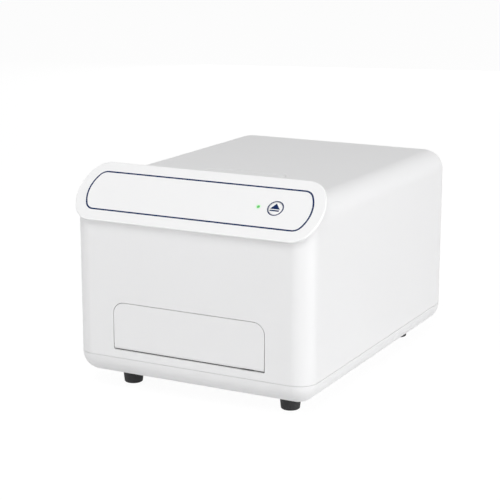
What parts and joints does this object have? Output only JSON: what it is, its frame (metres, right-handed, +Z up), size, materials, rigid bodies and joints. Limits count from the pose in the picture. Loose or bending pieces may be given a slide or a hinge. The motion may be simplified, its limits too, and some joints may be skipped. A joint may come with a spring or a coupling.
{
  "type": "microplate reader",
  "caption": "Bench-top microplate reader with a soft-cornered casing, a tilted fascia with an eject button and a drop-down door over a sliding plate carrier.",
  "frame": {"origin": "centre of the whole part's bounding box at the level of the feet", "axes": "+X to the user's right, +Y from the front to the back, +Z up"},
  "size_m": [0.2996, 0.4098, 0.2527],
  "materials": {
    "casing_plastic": "fine-textured white moulding",
    "tray_plastic": "fine-textured white moulding",
    "fascia_plastic": "satin white with a printed line",
    "door_plastic": "fine-textured white moulding",
    "foot_rubber": "matt black",
    "machined_aluminium": "bead-blasted",
    "black_aluminium": "black anodised",
    "ground_steel": "ground and polished",
    "zinc_steel": "zinc plated",
    "black_plastic": "moulded black",
    "brass": "turned",
    "board": "green solder mask",
    "clear_glass": "polished",
    "filter_glass": "coated",
    "belt_rubber": "toothed belt",
    "motor_metal": "black with bright end caps",
    "panel_metal": "grey powder coat",
    "carrier_plastic": "black moulded",
    "light_pipe": "green lens",
    "guide_sheath": "ribbed sheath",
    "lamp_glass": "quartz capsule on a ceramic base"
  },
  "bodies": {
    "housing": {"top_cover": "casing_plastic", "base_tray": "tray_plastic", "rear_panel": "panel_metal", "fascia_plate": "fascia_plastic", "door_frame": "black_plastic", "door_pin": "ground_steel", "door_spring": "zinc_steel", "keypad_board": "board", "status_light": "light_pipe", "front_left_foot": "foot_rubber", "front_right_foot": "foot_rubber", "rear_left_foot": "foot_rubber", "rear_right_foot": "foot_rubber", "foot_screws": "zinc_steel", "cover_screws": "zinc_steel", "panel_screws": "zinc_steel", "bench_screws": "zinc_steel", "bench_plate": "machined_aluminium", "bench_posts": "brass", "guide_rods": "ground_steel", "rod_blocks": "machined_aluminium", "idler_axle": "ground_steel", "idler_bracket": "machined_aluminium", "drive_belt": "belt_rubber", "drive_motor": "motor_metal", "motor_bracket": "zinc_steel", "detector_block": "black_aluminium", "detector_lenses": "clear_glass", "fibre_head": "black_aluminium", "optics_shelf": "machined_aluminium", "shelf_posts": "zinc_steel", "fibre_manifold": "black_aluminium", "light_guide": "guide_sheath", "optics_bracket": "black_aluminium", "filter_motor": "motor_metal", "lens_tube": "machined_aluminium", "condenser_lens": "clear_glass", "lamp_housing": "machined_aluminium", "halogen_lamp": "lamp_glass", "main_board": "board", "power_supply": "board", "power_inlet": "black_plastic", "power_switch": "black_plastic", "usb_port": "zinc_steel", "fan_frame": "black_plastic"},
    "door": {"plate_door": "door_plastic"},
    "carriage": {"plate_carrier": "carrier_plastic", "linear_bushings": "ground_steel", "belt_clamp": "machined_aluminium", "clamp_pin": "ground_steel", "clamp_spring": "zinc_steel"},
    "clamp_lever": {"plate_clamp": "door_plastic"},
    "eject_key": {"eject_button": "fascia_plastic"},
    "rocker": {"power_rocker": "black_plastic"},
    "wheel": {"filter_wheel": "black_aluminium", "filters": "filter_glass"},
    "rotor": {"fan_rotor": "black_plastic"},
    "drive_shaft": {"drive_pulley": "machined_aluminium"},
    "idler": {"idler_pulley": "machined_aluminium"},
    "hatch": {"access_cover": "casing_plastic"}
  },
  "joints": [
    {"name": "carriage_slide", "type": "slide", "parent": "housing", "child": "carriage", "axis": [0, -1, 0], "range_m": [0, 0.215]},
    {"name": "door_hinge", "type": "hinge", "parent": "housing", "child": "door", "pos_m": [0, -0.19709, 0.0563], "axis": [1, 0, 0], "range_deg": [0, 100]},
    {"name": "clamp_pivot", "type": "hinge", "parent": "carriage", "child": "clamp_lever", "pos_m": [-0.0705, -0.02935, 0.083], "axis": [0, 0, -1], "range_deg": [0, 12], "stiffness_Nm_per_rad": 0.02, "springref_deg": -5.73},
    {"name": "eject_press", "type": "slide", "parent": "housing", "child": "eject_key", "axis": [0, 0.7071, -0.7071], "range_m": [0, 0.001], "stiffness_N_per_m": 1500},
    {"name": "rocker_tilt", "type": "hinge", "parent": "housing", "child": "rocker", "pos_m": [-0.08, 0.19891, 0.12], "axis": [-1, 0, 0], "range_deg": [0, 14]},
    {"name": "wheel_spin", "type": "hinge", "parent": "housing", "child": "wheel", "pos_m": [0, -0.09359, 0.178], "axis": [0, 1, 0], "continuous": true},
    {"name": "rotor_spin", "type": "hinge", "parent": "housing", "child": "rotor", "pos_m": [0.06, 0.19091, 0.14], "axis": [0, 1, 0], "continuous": true},
    {"name": "drive_spin", "type": "hinge", "parent": "housing", "child": "drive_shaft", "pos_m": [0.084, 0.08591, 0.062], "axis": [1, 0, 0], "continuous": true},
    {"name": "idler_spin", "type": "hinge", "parent": "housing", "child": "idler", "pos_m": [0.084, -0.18009, 0.062], "axis": [1, 0, 0], "continuous": true},
    {"name": "hatch_lift", "type": "slide", "parent": "housing", "child": "hatch", "axis": [0, 0, 1], "range_m": [0, 0.03]}
  ],
  "couplings": [
    {"joint": "door_hinge", "follows": "carriage_slide", "rad_per_m": 8.1178},
    {"joint": "drive_spin", "follows": "carriage_slide", "rad_per_m": 157.08},
    {"joint": "idler_spin", "follows": "carriage_slide", "rad_per_m": 157.08}
  ]
}
